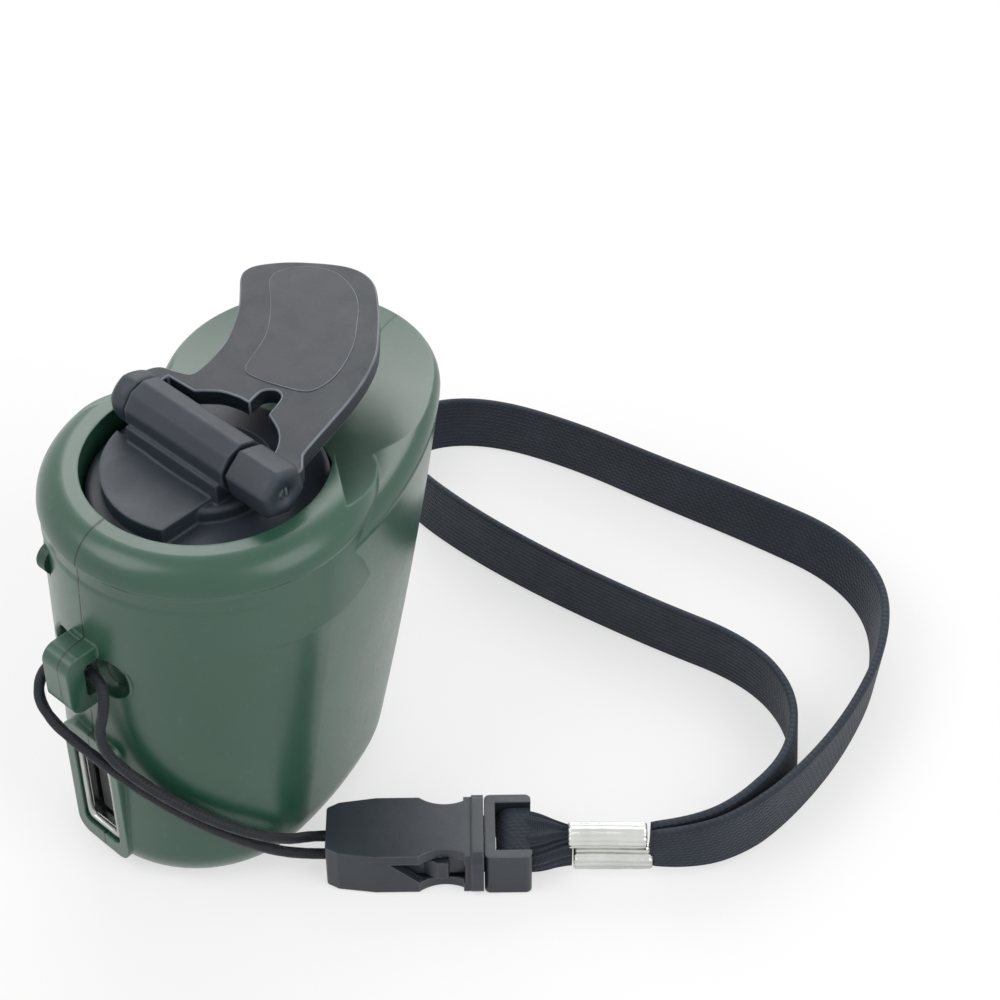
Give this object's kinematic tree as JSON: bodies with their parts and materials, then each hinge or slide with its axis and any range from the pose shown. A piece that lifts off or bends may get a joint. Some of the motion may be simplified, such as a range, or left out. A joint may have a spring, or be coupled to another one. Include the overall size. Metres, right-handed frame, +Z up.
{
  "type": "hand crank phone charger",
  "caption": "Hand crank phone charger with a rounded moulded case, folding crank, geared generator, USB port, side jack and wrist lanyard with release buckle.",
  "frame": {"origin": "on the base, under the crank's axis", "axes": "+Z up along the crank's axis, +Y towards the lobe that the folded arm lies over, the USB port faces -Y, X along the arm's hinge"},
  "size_m": [0.0893, 0.1113, 0.0611],
  "materials": {
    "case_green": "satin moulded plastic",
    "crank_grey": "fine texture",
    "steel": "plated",
    "can_metal": "zinc plated",
    "gear_nylon": "natural moulded",
    "bronze": "machined",
    "magnet": "sintered",
    "board_green": "lacquered",
    "component_black": "moulded",
    "cord_black": "braided",
    "webbing_black": "woven",
    "buckle_black": "fine texture",
    "crimp_metal": "bright"
  },
  "bodies": {
    "casing": {"shell_left": "case_green", "shell_right": "case_green", "case_screws": "steel", "hub_bearing": "bronze", "gearbox_plate_low": "gear_nylon", "gearbox_plate_top": "gear_nylon", "gearbox_posts": "steel", "gearbox_screws": "steel", "idler_1_pin": "steel", "idler_2_pin": "steel", "generator_can": "can_metal", "generator_cap": "gear_nylon", "generator_magnets": "magnet", "rotor_bushes": "bronze", "circuit_board": "board_green", "capacitor": "component_black", "inductor": "component_black", "regulator": "component_black", "diodes": "component_black", "usb_shell": "steel", "usb_tongue": "component_black", "usb_contacts": "bronze", "jack_body": "component_black", "lanyard_strand_a": "cord_black", "lanyard_strand_b": "cord_black", "buckle_socket": "buckle_black", "buckle_plug": "buckle_black", "strap_tail": "webbing_black", "strap_crimp": "crimp_metal", "wrist_webbing": "webbing_black"},
    "crank_hub": {"crank_hub": "crank_grey", "crank_shaft": "steel", "drive_gear": "gear_nylon"},
    "crank_arm": {"crank_arm": "crank_grey", "arm_pad": "crank_grey", "hinge_pin": "steel", "knob_screw": "steel"},
    "finger_knob": {"finger_knob": "crank_grey"},
    "idler_1": {"idler_1": "gear_nylon"},
    "idler_2": {"idler_2": "gear_nylon"},
    "generator_rotor": {"rotor_core": "steel", "rotor_shaft": "steel", "generator_pinion": "gear_nylon"}
  },
  "joints": [
    {"name": "hub_spin", "type": "hinge", "parent": "casing", "child": "crank_hub", "pos_m": [0, 0, 0.05], "axis": [0, 0, 1], "continuous": true},
    {"name": "arm_fold", "type": "hinge", "parent": "crank_hub", "child": "crank_arm", "pos_m": [0, 0, 0.0573], "axis": [1, 0, 0], "range_deg": [0, 155]},
    {"name": "knob_spin", "type": "hinge", "parent": "crank_arm", "child": "finger_knob", "pos_m": [-0.0124, 0.02702, 0.05738], "axis": [0, -0.0436, 0.999], "continuous": true},
    {"name": "idler_1_spin", "type": "hinge", "parent": "casing", "child": "idler_1", "pos_m": [-0.00779, 0.01349, 0.036], "axis": [0, 0, 1], "continuous": true},
    {"name": "idler_2_spin", "type": "hinge", "parent": "casing", "child": "idler_2", "pos_m": [0, 0, 0.034], "axis": [0, 0, 1], "continuous": true},
    {"name": "rotor_spin", "type": "hinge", "parent": "casing", "child": "generator_rotor", "pos_m": [0, 0.01308, 0.026], "axis": [0, 0, 1], "continuous": true}
  ],
  "couplings": [
    {"joint": "idler_1_spin", "follows": "hub_spin", "ratio": -4.1667},
    {"joint": "idler_2_spin", "follows": "hub_spin", "ratio": 11.979},
    {"joint": "rotor_spin", "follows": "hub_spin", "ratio": -39.931}
  ]
}
